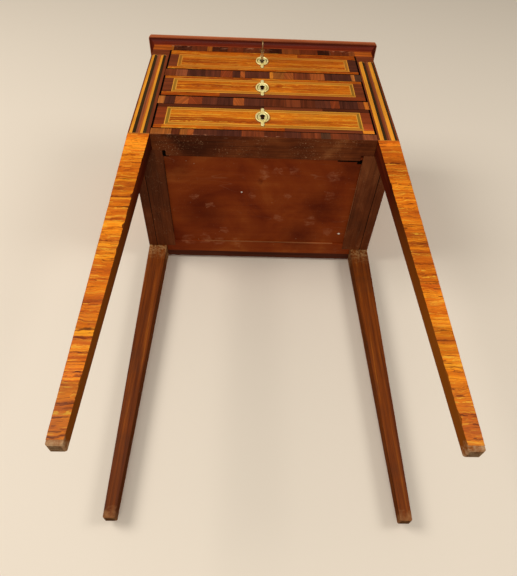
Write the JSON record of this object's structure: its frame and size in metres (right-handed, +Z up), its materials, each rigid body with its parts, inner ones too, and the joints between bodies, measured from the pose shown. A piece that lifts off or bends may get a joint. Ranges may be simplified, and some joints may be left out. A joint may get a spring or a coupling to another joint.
{
  "type": "work table",
  "caption": "Small work table with a stack of locked drawers on tapered square legs, inlaid simulated flutes, brass escutcheons, working locks and a key.",
  "frame": {"origin": "on the floor, below the middle of the whole object's box", "axes": "+Z up, +X to the right facing the drawers, the drawers open towards -Y"},
  "size_m": [0.412, 0.287, 0.75],
  "materials": {
    "tulipwood_veneer": "polished veneer, horizontal grain",
    "stile_veneer": "polished veneer with inlaid flutes",
    "kingwood_banding": "polished cross-banded veneer",
    "stained_wood": "dark red-brown stain, worn",
    "top_edge": "polished moulded edge",
    "lining_wood": "bare, waxed",
    "brass": "cast and lacquered",
    "key_metal": "dull, handled"
  },
  "bodies": {
    "case": {"front_leg_left": "stile_veneer", "front_leg_right": "stile_veneer", "rear_leg_left": "stained_wood", "rear_leg_right": "stained_wood", "side_panel_left": "tulipwood_veneer", "side_panel_right": "tulipwood_veneer", "back_panel": "stained_wood", "bottom_rail": "kingwood_banding", "lower_rail": "kingwood_banding", "upper_rail": "kingwood_banding", "top_rail": "kingwood_banding", "rear_rail": "stained_wood", "case_bottom": "stained_wood", "dust_board_lower": "lining_wood", "dust_board_upper": "lining_wood", "bottom_runner_left": "lining_wood", "bottom_runner_right": "lining_wood", "middle_runner_left": "lining_wood", "middle_runner_right": "lining_wood", "top_runner_left": "lining_wood", "top_runner_right": "lining_wood", "kicker_left": "lining_wood", "kicker_right": "lining_wood", "drawer_stops": "lining_wood", "top_board": "tulipwood_veneer", "top_moulding_front": "top_edge", "top_moulding_left": "top_edge", "top_moulding_right": "top_edge", "top_screws": "key_metal"},
    "top_drawer": {"top_drawer_front": "tulipwood_veneer", "top_drawer_side_left": "lining_wood", "top_drawer_side_right": "lining_wood", "top_drawer_back": "lining_wood", "top_drawer_bottom": "lining_wood", "top_lock_case": "brass", "top_lock_screws": "key_metal", "top_escutcheon": "brass", "top_escutcheon_pins": "brass"},
    "top_bolt": {"top_lock_bolt": "key_metal"},
    "middle_drawer": {"middle_drawer_front": "tulipwood_veneer", "middle_drawer_side_left": "lining_wood", "middle_drawer_side_right": "lining_wood", "middle_drawer_back": "lining_wood", "middle_drawer_bottom": "lining_wood", "middle_lock_case": "brass", "middle_lock_screws": "key_metal", "middle_escutcheon": "brass", "middle_escutcheon_pins": "brass"},
    "middle_bolt": {"middle_lock_bolt": "key_metal"},
    "bottom_drawer": {"bottom_drawer_front": "tulipwood_veneer", "bottom_drawer_side_left": "lining_wood", "bottom_drawer_side_right": "lining_wood", "bottom_drawer_back": "lining_wood", "bottom_drawer_bottom": "lining_wood", "bottom_lock_case": "brass", "bottom_lock_screws": "key_metal", "bottom_escutcheon": "brass", "bottom_escutcheon_pins": "brass"},
    "bottom_bolt": {"bottom_lock_bolt": "key_metal"},
    "key": {"key": "key_metal"}
  },
  "joints": [
    {"name": "top_drawer_slide", "type": "slide", "parent": "case", "child": "top_drawer", "axis": [0, -1, 0], "range_m": [0, 0.18]},
    {"name": "middle_drawer_slide", "type": "slide", "parent": "case", "child": "middle_drawer", "axis": [0, -1, 0], "range_m": [0, 0.18]},
    {"name": "bottom_drawer_slide", "type": "slide", "parent": "case", "child": "bottom_drawer", "axis": [0, -1, 0], "range_m": [0, 0.18]},
    {"name": "key_turn", "type": "hinge", "parent": "top_drawer", "child": "key", "pos_m": [-0.0025, -0.1095, 0.6844], "axis": [0, 1, 0], "range_deg": [0, 360]},
    {"name": "top_bolt_throw", "type": "slide", "parent": "top_drawer", "child": "top_bolt", "axis": [0, 0, 1], "range_m": [0, 0.006]},
    {"name": "middle_bolt_throw", "type": "slide", "parent": "middle_drawer", "child": "middle_bolt", "axis": [0, 0, 1], "range_m": [0, 0.006]},
    {"name": "bottom_bolt_throw", "type": "slide", "parent": "bottom_drawer", "child": "bottom_bolt", "axis": [0, 0, 1], "range_m": [0, 0.006]}
  ],
  "couplings": [
    {"joint": "key_turn", "follows": "top_bolt_throw", "rad_per_m": 1047.2}
  ]
}
